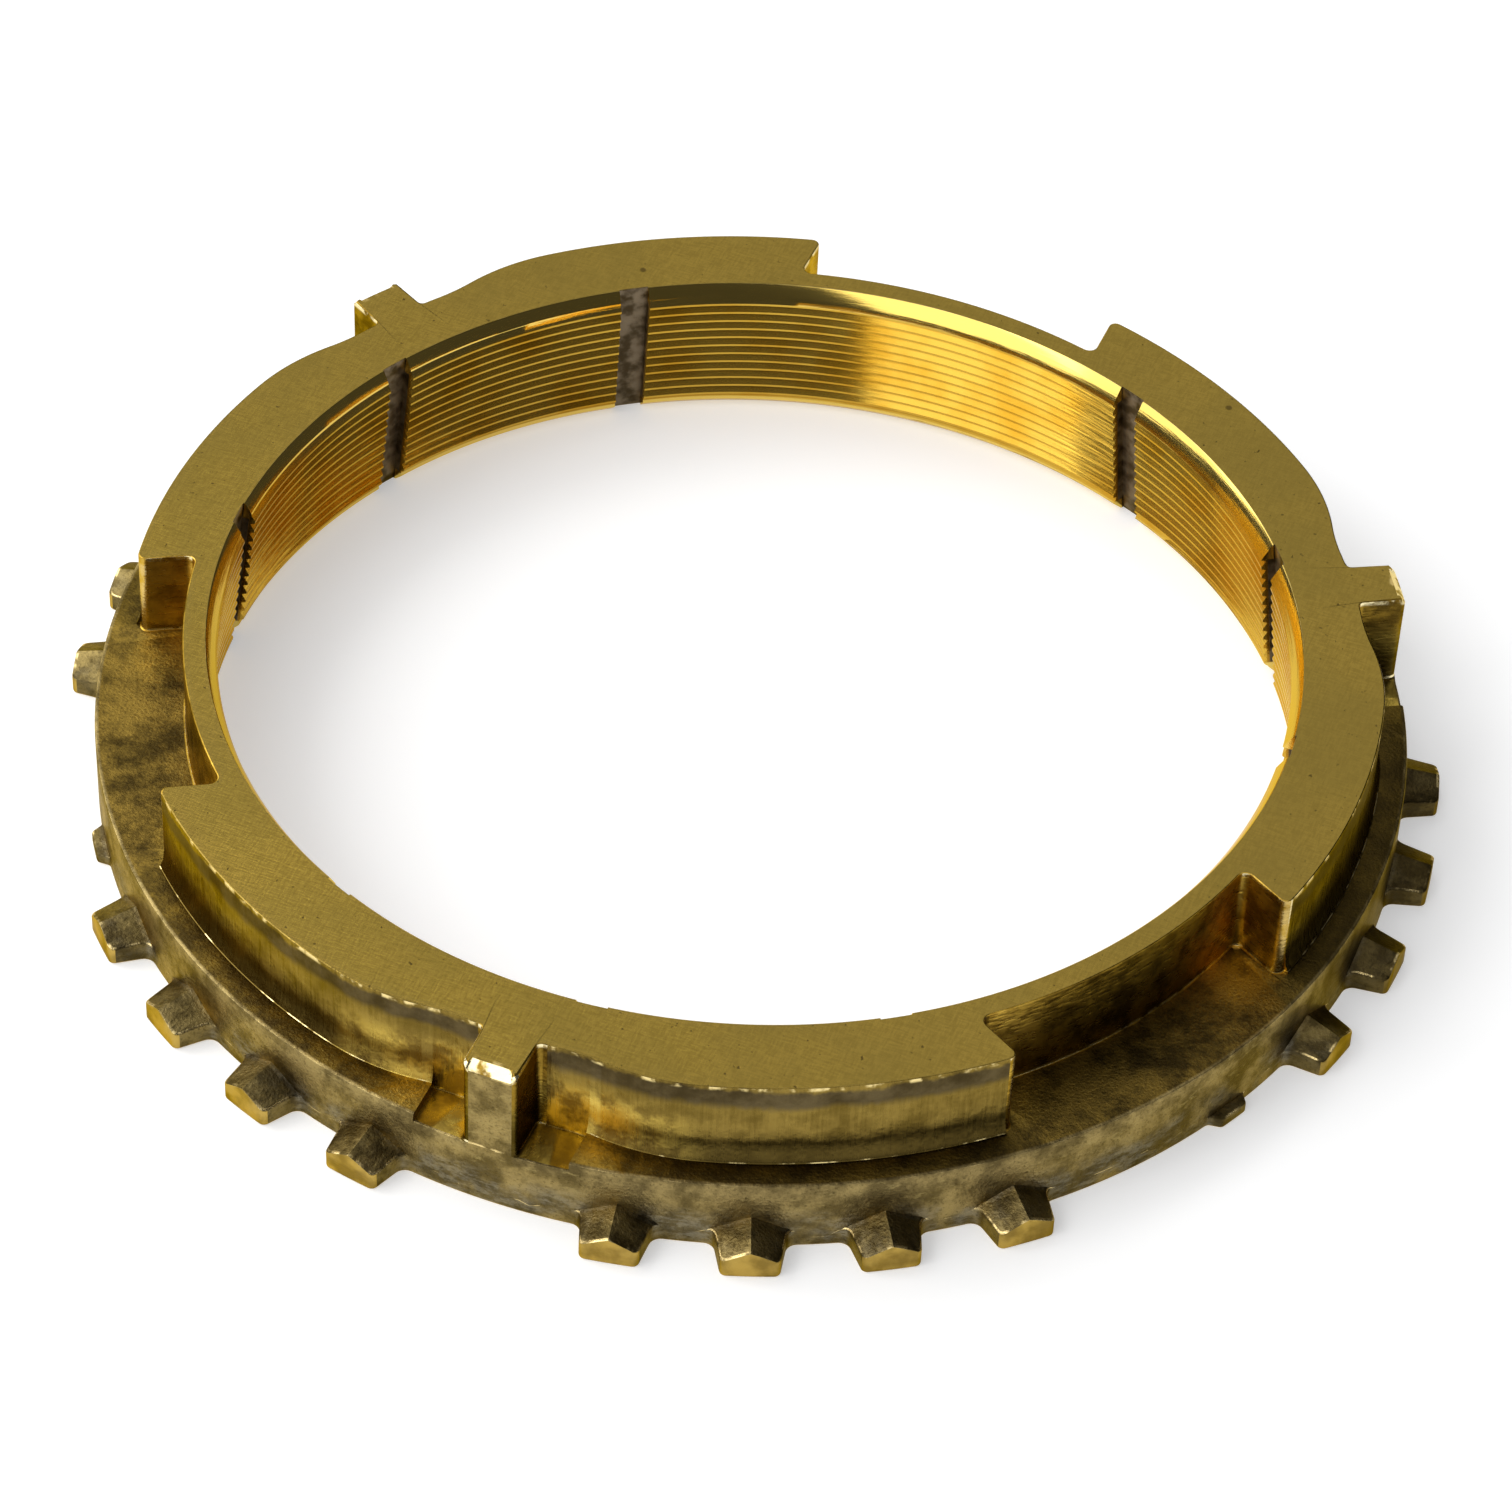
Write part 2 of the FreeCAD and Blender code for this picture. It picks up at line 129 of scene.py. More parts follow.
# The flange with its clutch teeth, which the shift sleeve's splines slide over. Four teeth stand on
# each side of a lug, and one low stub is left below each notch. Each tooth has a ridged roof that
# sinks outward, rounded corners, and wide round roots. The teeth are cut, the rest is as forged.
FLANGE_RADIUS = 33.85
TIP_RADIUS = 35.85
TOOTH_PITCH = 360 / 33
TOOTH_PLACES = (1, 2, 3, 4, 7, 8, 9, 10)
STUB_PLACE = 6
TOOTH_SHAPE = {"root_width": 3.55, "tip_width": 2.85, "root_round": 0.6, "corner_round": 0.35}
STUB_SHAPE = {"root_width": 2.5, "tip_width": 1.7, "root_round": 0.3, "corner_round": 0.3}
STUB_REACH = 0.6
TOOTH_HEIGHT = 2.05
TOOTH_SINK = 0.4
ROOF_SLOPE = 0.507
RIDGE_ROUND = 0.1
STUB_HEIGHT = 0.6
GAP_HEIGHT = 0.8
ROOT_STEP = 0.1
TOOTH_EDGE = 0.09
FACE_RADIUS = 29.4
FLANGE_SEAM = 2.7
FLANGE_STEP = 1.0
SAME_POINT = 1e-9


def arc(centre, start, end, steps):
    """Points of the shorter arc round a centre: the arm to its start turned in steps to its end."""
    arm = start - centre
    turn = np.angle((end - centre) / arm)
    return centre + arm * np.exp(1j * turn * np.linspace(0, 1, steps + 1))


def straight(start, end, steps):
    """Points of the straight line from start to end, evenly spaced."""
    return start + (end - start) * np.linspace(0, 1, steps + 1)


def unit(number):
    """Return a complex number's direction."""
    return number / abs(number)


def half_tooth(tip_radius, root_width, tip_width, root_round, corner_round):
    """Half a tooth's plan, from the middle of its tip on the real axis to its root's end.

    The flank is a straight line. The corner's centre lies inside that line and the tip circle by
    the corner's radius, and the root's centre outside the line and the flange by the root's.
    """
    foot = FLANGE_RADIUS + 0.5j * root_width
    flank = unit(tip_radius + 0.5j * tip_width - foot)
    aside = 1j * flank
    distance = (foot * aside.conjugate()).real

    def beside(gap, radius):
        return aside * (distance + gap) - 1j * aside * np.sqrt(radius**2 - (distance + gap) ** 2)

    corner = beside(-corner_round, tip_radius - corner_round)
    root = beside(root_round, FLANGE_RADIUS + root_round)
    corner_start = unit(corner) * tip_radius
    return np.concatenate(
        [
            arc(0, tip_radius + 0j, corner_start, 3)[:-1],
            arc(corner, corner_start, corner + corner_round * aside, 5),
            arc(root, root - root_round * aside, unit(root) * FLANGE_RADIUS, 5),
        ]
    )


def flange_columns():
    """One sector's lower plan from its lug on, and each point's place and if it is toothed."""
    tooth = half_tooth(TIP_RADIUS, **TOOTH_SHAPE)
    stub = half_tooth(FLANGE_RADIUS + STUB_REACH, **STUB_SHAPE)
    plan, places, toothed = [], [], []
    reached = 0.0
    for place in sorted(TOOTH_PLACES + (STUB_PLACE,)):
        half = stub if place == STUB_PLACE else tooth
        centre = place * TOOTH_PITCH
        reach = np.degrees(np.angle(half[-1]))
        steps = round((centre - reach - reached) / FLANGE_STEP) + 2
        gap = np.linspace(reached, centre - reach, steps)[int(reached > 0):-1]
        outline = np.concatenate([half[::-1].conjugate(), half[1:]]) * turned(centre)
        plan += [FLANGE_RADIUS * turned(gap), outline]
        places += [gap, np.full(outline.size, centre)]
        toothed += [np.zeros(gap.size), np.full(outline.size, place != STUB_PLACE)]
        reached = centre + reach
    gap = np.linspace(reached, SECTOR, round((SECTOR - reached) / FLANGE_STEP) + 2)[1:-1]
    plan.append(FLANGE_RADIUS * turned(gap))
    places.append(gap)
    toothed.append(np.zeros(gap.size))
    return np.concatenate(plan), np.concatenate(places), np.concatenate(toothed) > 0


def in_all_sectors(plan):
    """Repeat one sector's plan in all three."""
    return np.concatenate([plan * turned(LUG_ANGLE + SECTOR * sector) for sector in range(3)])


def outward(plan):
    """Unit normals of a closed plan that runs counterclockwise: its tangent turned to the right.

    The tangent runs from the point before to the point after, past a point's own double.
    """
    after, before = np.roll(plan, -1), np.roll(plan, 1)
    after = np.where(abs(after - plan) < SAME_POINT, np.roll(plan, -2), after)
    before = np.where(abs(before - plan) < SAME_POINT, np.roll(plan, 2), before)
    return unit(-1j * (after - before))


sector_plan, sector_places, sector_toothed = flange_columns()
flange_plan = in_all_sectors(sector_plan)
place_direction = in_all_sectors(turned(sector_places))
toothed = np.tile(sector_toothed, 3)
flange_normal = outward(flange_plan)
stands_proud = np.clip((abs(flange_plan) - FLANGE_RADIUS) / TOOTH_EDGE, 0, 1)


def roof_height(points):
    """Height of the roofs over plan points: a rounded ridge that sinks outward, and even slopes."""
    local = points / place_direction
    way_out = (abs(local) - FLANGE_RADIUS) / (TIP_RADIUS - FLANGE_RADIUS)
    aside = np.hypot(local.imag, RIDGE_ROUND) - RIDGE_ROUND
    low = np.where(stands_proud > 0, STUB_HEIGHT, GAP_HEIGHT)
    return np.where(toothed, TOOTH_HEIGHT - TOOTH_SINK * way_out - ROOF_SLOPE * aside, low)


def drawn_in(points, normal, distance, least_radius):
    """Move plan points inward along their normals, but not inside a radius."""
    moved = points - distance * normal
    return unit(moved) * np.maximum(abs(moved), least_radius)


ROUND_TURNS = np.radians([0, 30, 60, 90])
under_edge = [flange_plan - TOOTH_EDGE * (1 - np.sin(turn)) * flange_normal for turn in ROUND_TURNS]
under_height = [TOOTH_EDGE * (1 - np.cos(turn)) + 0 * toothed for turn in ROUND_TURNS]
roof_edge = [
    drawn_in(flange_plan, flange_normal, share * TOOTH_EDGE * stands_proud, FLANGE_RADIUS)
    for share in (0.0, 0.3, 1.0)
]
roof_edge_height = [roof_height(flange_plan) - TOOTH_EDGE]
roof_edge_height += [roof_height(roof_edge[1]) - 0.3 * TOOTH_EDGE, roof_height(roof_edge[2])]
tooth_root = FLANGE_RADIUS * unit(flange_plan)
flange_points = np.array(
    [FACE_RADIUS * unit(flange_plan), *under_edge, *roof_edge, tooth_root, tooth_root, tooth_root]
)
flange_height = np.array(
    [
        0 * toothed,
        *under_height,
        *roof_edge_height,
        roof_height(tooth_root),
        np.maximum(roof_height(tooth_root), GAP_HEIGHT) + ROOT_STEP,
        FLANGE_SEAM + 0 * toothed,
    ]
)


# The wall above the flange. It has three notches with parallel sides for the shifting keys, and
# three narrow lugs that turn the ring with its hub. Beside each lug the wall steps back in a double
# bend, and a shallow pocket is milled round the lug's foot. Elsewhere the foot flares to a lip.
WALL_RADIUS = 32.2
RELIEF_RADIUS = 31.3
RELIEF_HALF_ANGLE = 4.5
RELIEF_BEND = 12.0
NOTCH_HALF_WIDTH = 8.5
NOTCH_WALL_RADIUS = 29.2
LUG_HALF_WIDTH = 1.4
POCKET_HALF_WIDTH = 4.05
FLANGE_TOP = 4.2
POCKET_FLOOR = 3.7
LIP_WIDTH = 0.3
LIP_HEIGHT = 0.12
FLARE_WIDTH = 0.26
FLARE_HEIGHT = 1.1
TOP_EDGE = 0.07
LUG_BEVEL = 0.45
LUG_CORNER = 0.35
LUG_ROOT = 0.3
MOUTH_CORNER = 0.4
NOTCH_CORNER = 0.45
FOOT_ROUND = 0.12
FLANGE_EDGE = 0.13
UPPER_SEAM = 2.95
TOP_SEAM_RADIUS = 28.45


def beside_axis(radius, aside):
    """The point at a radius from the ring's axis, and at a distance aside of the real axis."""
    return np.sqrt(radius**2 - aside**2) + 1j * aside


def wall_half_sector():
    """The upper plan from a lug's middle to the next notch's middle, as a table of stretches.

    Each stretch gives its points, then the angles from the lug, at the stretch's end, of their
    partners on the flange's edge and on the bore's rim, then the floor it stands on, whether its
    foot has a lip, and the size of its top bevel. Partners keep the same order as the points, so
    that the lines between them never cross.
    """
    lug_corner = beside_axis(FLANGE_RADIUS - LUG_CORNER, LUG_HALF_WIDTH - LUG_CORNER)
    lug_root = beside_axis(RELIEF_RADIUS + LUG_ROOT, LUG_HALF_WIDTH + LUG_ROOT)
    to_hollow = RELIEF_RADIUS + RELIEF_BEND
    to_crown = WALL_RADIUS - RELIEF_BEND
    cosine = (to_hollow**2 + to_crown**2 - 4 * RELIEF_BEND**2) / (2 * to_hollow * to_crown)
    crown_angle = RELIEF_HALF_ANGLE + np.degrees(np.arccos(cosine))
    hollow = to_hollow * turned(RELIEF_HALF_ANGLE)
    crown = to_crown * turned(crown_angle)
    bend = (hollow + crown) / 2
    pocket_aside = POCKET_HALF_WIDTH - hollow.imag
    pocket_end = hollow.real - np.sqrt(RELIEF_BEND**2 - pocket_aside**2) + 1j * POCKET_HALF_WIDTH
    to_notch = turned(SECTOR / 2)
    mouth = beside_axis(WALL_RADIUS - MOUTH_CORNER, -NOTCH_HALF_WIDTH - MOUTH_CORNER)
    mouth = mouth * to_notch
    corner = beside_axis(NOTCH_WALL_RADIUS + NOTCH_CORNER, NOTCH_CORNER - NOTCH_HALF_WIDTH)
    corner = corner * to_notch
    mouth_start = unit(mouth) * WALL_RADIUS
    mouth_end = mouth + 1j * MOUTH_CORNER * to_notch
    side_end = corner - 1j * NOTCH_CORNER * to_notch
    corner_end = unit(corner) * NOTCH_WALL_RADIUS
    notch_middle = NOTCH_WALL_RADIUS * to_notch
    lug_tip = unit(lug_corner) * FLANGE_RADIUS
    relief_start = unit(lug_root) * RELIEF_RADIUS
    relief_end = RELIEF_RADIUS * turned(RELIEF_HALF_ANGLE)
    wall_start = WALL_RADIUS * turned(crown_angle)
    lug_side_start = lug_corner + 1j * LUG_CORNER
    lug_side_end = lug_root - 1j * LUG_ROOT
    pocket_edge = np.degrees(np.arcsin(POCKET_HALF_WIDTH / FLANGE_RADIUS))
    tip_edge = np.degrees(np.angle(lug_tip))
    low, high = POCKET_FLOOR, FLANGE_TOP
    return [
        (arc(0, FLANGE_RADIUS + 0j, lug_tip, 3), tip_edge, 2.1, low, False, LUG_BEVEL),
        (arc(lug_corner, lug_tip, lug_side_start, 5)[1:], 2.8, 2.8, low, False, 0.15),
        (straight(lug_side_start, lug_side_end, 6)[1:], 3.7, 3.4, low, False, TOP_EDGE),
        (arc(lug_root, lug_side_end, relief_start, 5)[1:], 4.3, 3.9, low, False, TOP_EDGE),
        (arc(0, relief_start, relief_end, 4)[1:], 5.0, 4.9, low, False, TOP_EDGE),
        (arc(hollow, relief_end, pocket_end, 6)[1:], pocket_edge, 7.6, low, False, TOP_EDGE),
        (arc(hollow, pocket_end, bend, 10), 10.8, 10.9, high, True, TOP_EDGE),
        (arc(crown, bend, wall_start, 14)[1:], crown_angle, crown_angle, high, True, TOP_EDGE),
        (arc(0, wall_start, mouth_start, 54)[1:], 44.4, 41.1, high, True, TOP_EDGE),
        (arc(mouth, mouth_start, mouth_end, 5), 45.1, 41.5, high, False, TOP_EDGE),
        (straight(mouth_end, side_end, 5)[1:], 46.4, 42.6, high, False, TOP_EDGE),
        (arc(corner, side_end, corner_end, 6)[1:], 47.0, 44.1, high, False, TOP_EDGE),
        (arc(0, corner_end, notch_middle, 24)[1:], 60.0, 60.0, high, False, TOP_EDGE),
    ]


def wall_columns():
    """One sector's upper plan, and each point's partners, floor, lip and bevel, as rows."""
    columns = []
    edge_reached, rim_reached, bevel_reached = 0.0, 0.0, LUG_BEVEL
    for points, edge, rim, floor, lipped, bevel in wall_half_sector():
        share = np.arange(1, points.size + 1) / points.size
        if edge_reached == 0.0 or abs(points[0] - columns[-1][0, -1]) < SAME_POINT:
            share = np.arange(points.size) / (points.size - 1)
        columns.append(
            np.array(
                [
                    points,
                    edge_reached + (edge - edge_reached) * share,
                    rim_reached + (rim - rim_reached) * share,
                    np.full(points.size, floor),
                    np.full(points.size, lipped),
                    bevel_reached + (bevel - bevel_reached) * share,
                ]
            )
        )
        edge_reached, rim_reached, bevel_reached = edge, rim, bevel
    half = np.concatenate(columns, axis=1)
    other = half[:, -2:0:-1].copy()
    other[0] = other[0].conjugate() * turned(SECTOR)
    other[1:3] = SECTOR - other[1:3]
    return np.concatenate([half, other], axis=1)


sector_columns = wall_columns()
wall_plan = in_all_sectors(sector_columns[0])
edge_direction = in_all_sectors(turned(sector_columns[1].real))
rim_direction = in_all_sectors(turned(sector_columns[2].real))
floor_height, lipped, top_bevel = (np.tile(column.real, 3) for column in sector_columns[3:])
lipped = lipped > 0
wall_normal = outward(wall_plan)
lug_turns = turned(LUG_ANGLE + SECTOR * np.arange(3)).reshape(-1, 1)
beside_lug = (abs((wall_plan / lug_turns).imag) < LUG_HALF_WIDTH + LUG_ROOT - 0.01).any(axis=0)
edge_plan = FLANGE_RADIUS * edge_direction


def stood_off(lip, plain):
    """The wall's plan moved outward, by one distance where its foot has a lip, else by another."""
    moved = wall_plan + np.where(lipped, lip, plain) * wall_normal
    return unit(moved) * np.minimum(abs(moved), FLANGE_RADIUS)


foot = stood_off(LIP_WIDTH, FOOT_ROUND)
edge_round = np.minimum(FLANGE_EDGE, (FLANGE_RADIUS - abs(foot)) / 2)
edge_share = np.where(top_bevel > 0.2, 0.5, 0.3)
lip_top = FLANGE_TOP + LIP_HEIGHT
flare_top = lip_top + FLARE_HEIGHT
wall_points = np.array(
    [
        edge_plan,
        edge_plan,
        edge_plan - 0.3 * edge_round * edge_direction,
        edge_plan - edge_round * edge_direction,
        foot,
        stood_off(LIP_WIDTH, 0.3 * FOOT_ROUND),
        stood_off(FLARE_WIDTH, 0),
        stood_off(0.35 * FLARE_WIDTH, 0),
        wall_plan,
        wall_plan,
        wall_plan - edge_share * top_bevel * wall_normal,
        wall_plan - top_bevel * wall_normal,
        TOP_SEAM_RADIUS * rim_direction,
    ]
)
level = 0 * floor_height
wall_height = np.array(
    [
        level + UPPER_SEAM,
        floor_height - edge_round,
        floor_height - 0.3 * edge_round,
        floor_height,
        floor_height,
        np.where(lipped, lip_top - 0.02, floor_height + 0.3 * FOOT_ROUND),
        np.where(lipped, lip_top, floor_height + FOOT_ROUND),
        level + lip_top + 0.35 * FLARE_HEIGHT,
        level + flare_top,
        RING_HEIGHT - top_bevel,
        RING_HEIGHT - edge_share * top_bevel,
        level + RING_HEIGHT,
        level + RING_HEIGHT,
    ]
)


# The whole ring. The three bands meet on the flange's outside, on the top face beside the bore, and
# on the bottom face, and are sewn there into one closed skin. Its turned, milled and forged faces
# keep their numbers, so that each takes its own finish, and a mask marks the worn edges, which
# carry both wear and painted glints.
MM = 0.001
BORE, FORGED, WALL, TOP, MILLED, TURNED = range(6)
SHARP_ANGLE = np.radians(33)
SHARP_CORNER = np.radians(30)
# Share of wear and painted glint on the upright edges at a notch's mouth.
UPRIGHT_WEAR_AND_GLINT = 0.955
DOUBLES_GAP = 0.002
SLIVER_EDGE = 0.001


def bore_finish():
    """Finish of each patch of the bore: the cut taper throughout, but the flat rims at its ends."""
    finish = np.full(bore_height[1:].shape, BORE)
    finish[0] = TOP
    finish[-1] = TURNED
    return finish


def flange_finish():
    """Finish of each patch of the toothed flange: turned below and on the teeth's ends."""
    finish = np.full(flange_height[1:].shape, FORGED)
    finish[:4] = TURNED
    finish[3:6, abs(flange_plan) > TIP_RADIUS - 0.2] = TURNED
    return finish


def wall_finish():
    """Finish of each patch of the wall: turned side and top, milled pockets, notches and lugs."""
    finish = np.full(wall_height[1:].shape, WALL)
    finish[:4] = FORGED
    finish[3:11, beside_lug | ~lipped & (floor_height > POCKET_FLOOR)] = MILLED
    finish[3, ~lipped] = np.where(floor_height > POCKET_FLOOR, FORGED, MILLED)[~lipped]
    finish[1:9, abs(wall_plan) > FLANGE_RADIUS - 0.01] = FORGED
    finish[11:] = TOP
    return finish


def worn_and_glinting(rows, columns, edges):
    """Mask of the rows that lie on worn edges, where wear and painted glints go."""
    mask = np.zeros((rows, columns))
    mask[edges] = 1.0
    return mask


def wall_worn_and_glinting():
    """Mask of the wall's worn edges, where wear and painted glints go: its foot and top rows, the
    lugs' bevels and the corners.

    Rows 4 to 6 run round the foot and rows 9 to 11 round the top edge. A corner is where the plan
    turns sharply: outward at a notch's mouth, and inward at its end, where only the foot is worn.
    """
    mask = worn_and_glinting(*wall_height.shape, [2, 5, 6, 9, 10])
    turning = np.angle(np.roll(wall_normal, -1) / np.roll(wall_normal, 1))
    mask[5:11, (turning > SHARP_CORNER) & (abs(wall_plan) < WALL_RADIUS + 0.1)] = UPRIGHT_WEAR_AND_GLINT
    mask[4:7, (turning < -SHARP_CORNER) & (abs(wall_plan) < WALL_RADIUS - 1)] = 1.0
    mask[9:12, abs(wall_plan) > FLANGE_RADIUS - 0.05] = 1.0
    mask[9:11, abs(wall_plan) < NOTCH_WALL_RADIUS + 0.05] = 0.0
    return mask


BANDS = (
    (bore_points, bore_height, bore_finish(), worn_and_glinting(*bore_height.shape, [1, 2, -3, -2])),
    (flange_points, flange_height, flange_finish(), worn_and_glinting(*flange_height.shape, [2, 3, 6, 7])),
    (wall_points, wall_height, wall_finish(), wall_worn_and_glinting()),
)


def band_patches(number):
    """A band's four-sided patches, by their corners' numbers, counterclockwise from outside."""
    beside = np.roll(number, -1, axis=1)
    corners = [number[:-1], beside[:-1], beside[1:], number[1:]]
    return np.stack(corners, axis=-1).reshape(-1, 4)


def walk(plan, numbers):
    """A closed row's point numbers in order of angle, and the angles of its edges' middles."""
    angles = np.angle(plan) % (2 * np.pi)
    order = np.argsort(angles, kind="stable")
    angles = angles[order]
    return numbers[order], (angles + np.append(angles[1:], angles[0] + 2 * np.pi)) / 2


def sewn(lower_plan, lower_numbers, upper_plan, upper_numbers):
    """Triangles between two closed rows, walked round side by side.

    The row whose next edge has its middle first moves on, so a triangle stands on every edge of
    both rows, with its tip on the other row's point at that moment.
    """
    lower, lower_middles = walk(lower_plan, lower_numbers)
    upper, upper_middles = walk(upper_plan, upper_numbers)
    upper_tips = upper[np.searchsorted(upper_middles, lower_middles, side="left") % upper.size]
    lower_tips = lower[np.searchsorted(lower_middles, upper_middles, side="right") % lower.size]
    return np.concatenate(
        [
            np.stack([lower, np.roll(lower, -1), upper_tips], axis=1),
            np.stack([lower_tips, np.roll(upper, -1), upper], axis=1),
        ]
    )


def ring_mesh():
    """The ring's closed skin, with its finishes and its wear mask.

    Its edges are sharp where the faces turn quickly, and all round the flat top.
    """
    plans, heights, finishes, masks = zip(*BANDS)
    firsts = np.cumsum([0] + [height.size for height in heights])
    numbers = [
        first + np.arange(height.size).reshape(height.shape)
        for first, height in zip(firsts, heights)
    ]
    seams = [
        sewn(plans[below][-1], numbers[below][-1], plans[above][0], numbers[above][0])
        for below, above in ((0, 1), (1, 2), (2, 0))
    ]
    plan, height, finish, mask = (
        np.concatenate([part.ravel() for part in parts])
        for parts in (plans, heights, finishes, masks)
    )
    corners = MM * np.stack([plan.real, plan.imag, height], axis=1)
    patches = np.concatenate([band_patches(number) for number in numbers])
    seam_finish = np.repeat([TURNED, FORGED, TOP], [seam.shape[0] for seam in seams])
    finish = np.append(finish, seam_finish).astype(np.int32)
    mesh = bpy.data.meshes.new("synchronizer_ring_skin")
    mesh.from_pydata(corners.tolist(), [], patches.tolist() + np.concatenate(seams).tolist())
    mesh.polygons.foreach_set("material_index", finish)
    wear_and_glint = mesh.attributes.new("wear_and_glint", "FLOAT", "POINT")
    wear_and_glint.data.foreach_set("value", mask.astype(np.float32))
    skin = bmesh.new()
    skin.from_mesh(mesh)
    bmesh.ops.remove_doubles(skin, verts=skin.verts, dist=DOUBLES_GAP * MM)
    bmesh.ops.dissolve_degenerate(skin, edges=skin.edges, dist=SLIVER_EDGE * MM)
    for face in skin.faces:
        face.smooth = True
    for edge in skin.edges:
        beside_top = {face.material_index == TOP for face in edge.link_faces}
        edge.smooth = len(beside_top) == 1 and bool(edge.calc_face_angle() < SHARP_ANGLE)
    skin.to_mesh(mesh)
    skin.free()
    return mesh


ring = bpy.data.objects.new("synchronizer_ring_dressed", ring_mesh())
bpy.context.scene.collection.objects.link(ring)
weighting = ring.modifiers.new("Even shading", "WEIGHTED_NORMAL")
weighting.keep_sharp = True
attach(ring, "root")
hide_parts("synchronizer_ring")


# The finishes. All faces are the same brass, and differ in how they were cut and have tarnished:
# bright where the tool went last, brown and dull where the forging's skin is left. Some colours
# also hold painted shade, painted highlights and painted glints.
class Value:
    """A socket's output in a material, with the arithmetic that its Math nodes do."""

    def __init__(self, shader, socket):
        self.shader = shader
        self.socket = socket

    def maths(self, operation, *others):
        """Add a Math node on this value and the others."""
        operands = dict(enumerate((self, *others)))
        return self.shader.node("ShaderNodeMath", {"operation": operation}, operands)

    def __add__(self, other):
        return self.maths("ADD", other)

    __radd__ = __add__

    def __mul__(self, other):
        return self.maths("MULTIPLY", other)

    __rmul__ = __mul__

    def __sub__(self, other):
        return self.maths("SUBTRACT", other)

    def __rsub__(self, other):
        return self.maths("MULTIPLY_ADD", -1.0, other)

    def ramp(self, low, high):
        """Rise smoothly from 0 at low to 1 at high."""
        inputs = {"Value": self, "From Min": low, "From Max": high}
        return self.shader.node("ShaderNodeMapRange", {"interpolation_type": "SMOOTHSTEP"}, inputs)


class Shader:
    """A material and the nodes that feed its surface."""

    def __init__(self, name):
        self.material = bpy.data.materials.new(name)
        self.material.use_nodes = True
        self.tree = self.material.node_tree
        self.surface = self.tree.nodes["Principled BSDF"].inputs

    def put(self, socket, value):
        """Link a value to a socket, or set it there."""
        if isinstance(value, Value):
            self.tree.links.new(value.socket, socket)
        else:
            socket.default_value = value

    def node(self, kind, settings, inputs, output=0):
        """Add a node with its settings, then its inputs, and return one of its outputs."""
        node = self.tree.nodes.new(kind)
        for name, setting in settings.items():
            setattr(node, name, setting)
        for name, value in inputs.items():
            self.put(node.inputs[name], value)
        return Value(self, node.outputs[output])

    def mix(self, share, low, high):
        """Blend two colours, each a Value or red, green and blue."""
        colours = {
            name: colour if isinstance(colour, Value) else (*colour, 1.0)
            for name, colour in ((6, low), (7, high))
        }
        return self.node("ShaderNodeMix", {"data_type": "RGBA"}, {0: share, **colours}, 2)


SPECULAR_TINT = (0.75, 0.6, 0.3, 1.0)
WEAR_RANGE = (0.94, 0.99)
# Middle and reach, in degrees, of the side of the ring that is darkened as painted shade.
PAINTED_SHADE_ANGLE = 8.0
PAINTED_SHADE_REACH = (12.0, 24.0)


class Finish(Shader):
    """A finish of the brass, built from nodes that read the ring's own coordinates in millimetres.

    It has the angle in degrees from the nearest lug. One side of the ring is darkened as painted
    shade: that mask is full within its reach's first angle from the side's middle, and ends at
    the second.
    """

    def __init__(self, name):
        super().__init__(name)
        self.put(self.surface["Specular Tint"], SPECULAR_TINT)
        metres = self.node("ShaderNodeTexCoord", {}, {}, "Object")
        self.place = self.vector_maths("SCALE", {0: metres, "Scale": 1 / MM})
        apart = {"Vector": self.place}
        self.x, self.y, self.z = (
            self.node("ShaderNodeSeparateXYZ", {}, apart, axis) for axis in ("X", "Y", "Z")
        )
        across = self.x * self.x + self.y * self.y
        self.radius = across.maths("SQRT")
        self.angle = self.y.maths("ARCTAN2", self.x)
        from_lug = self.angle - np.radians(LUG_ANGLE)
        self.from_lug = from_lug.maths("PINGPONG", np.radians(SECTOR / 2)) * (180 / np.pi)
        # Mask of the side that is darkened as painted shade.
        away = self.angle - np.radians(PAINTED_SHADE_ANGLE)
        self.painted_shade_side = 1 - (away * away).ramp(*np.radians(PAINTED_SHADE_REACH) ** 2)

    def vector_maths(self, operation, inputs):
        """Add a Vector Math node."""
        return self.node("ShaderNodeVectorMath", {"operation": operation}, inputs)

    def noise(self, scale, detail=2.0, stretch=(1.0, 1.0, 1.0), roughness=0.5):
        """Uneven shading, at so many lumps to the millimetre, packed closer along each axis."""
        place = self.vector_maths("MULTIPLY", {0: self.place, 1: stretch})
        inputs = {"Vector": place, "Scale": scale, "Detail": detail, "Roughness": roughness}
        return self.node("ShaderNodeTexNoise", {}, inputs)

    def streaks(self, turn_scale, radius_scale, height_scale, detail=2.0):
        """Fine marks along the lathe's turns, with so many to the radian and to the millimetre."""
        scaled = {
            "X": self.angle * turn_scale,
            "Y": self.radius * radius_scale,
            "Z": self.z * height_scale,
        }
        place = self.node("ShaderNodeCombineXYZ", {}, scaled)
        inputs = {"Vector": place, "Scale": 1.0, "Detail": detail}
        return self.node("ShaderNodeTexNoise", {}, inputs)

    def wear_and_glint(self, low, high):
        """Mask of the worn edges, where wear and painted glints go: none where a coarse noise is
        below low, full where above high.

        Between two rows of points the attribute falls off evenly, so only its end counts as worn.
        """
        edge = self.node("ShaderNodeAttribute", {"attribute_name": "wear_and_glint"}, {}, "Fac")
        return edge.ramp(*WEAR_RANGE) * self.noise(1.1, 5.0).ramp(low, high)

    def complete(self, colour, roughness, height, depth, metallic=1.0):
        """Give the surface its colour, roughness and relief, and return the material.

        The relief's depth is in millimetres.
        """
        self.put(self.surface["Base Color"], colour)
        self.put(self.surface["Roughness"], roughness)
        self.put(self.surface["Metallic"], metallic)
        relief = {"Strength": 1.0, "Distance": depth * MM, "Height": height}
        self.put(self.surface["Normal"], self.node("ShaderNodeBump", {}, relief))
        return self.material


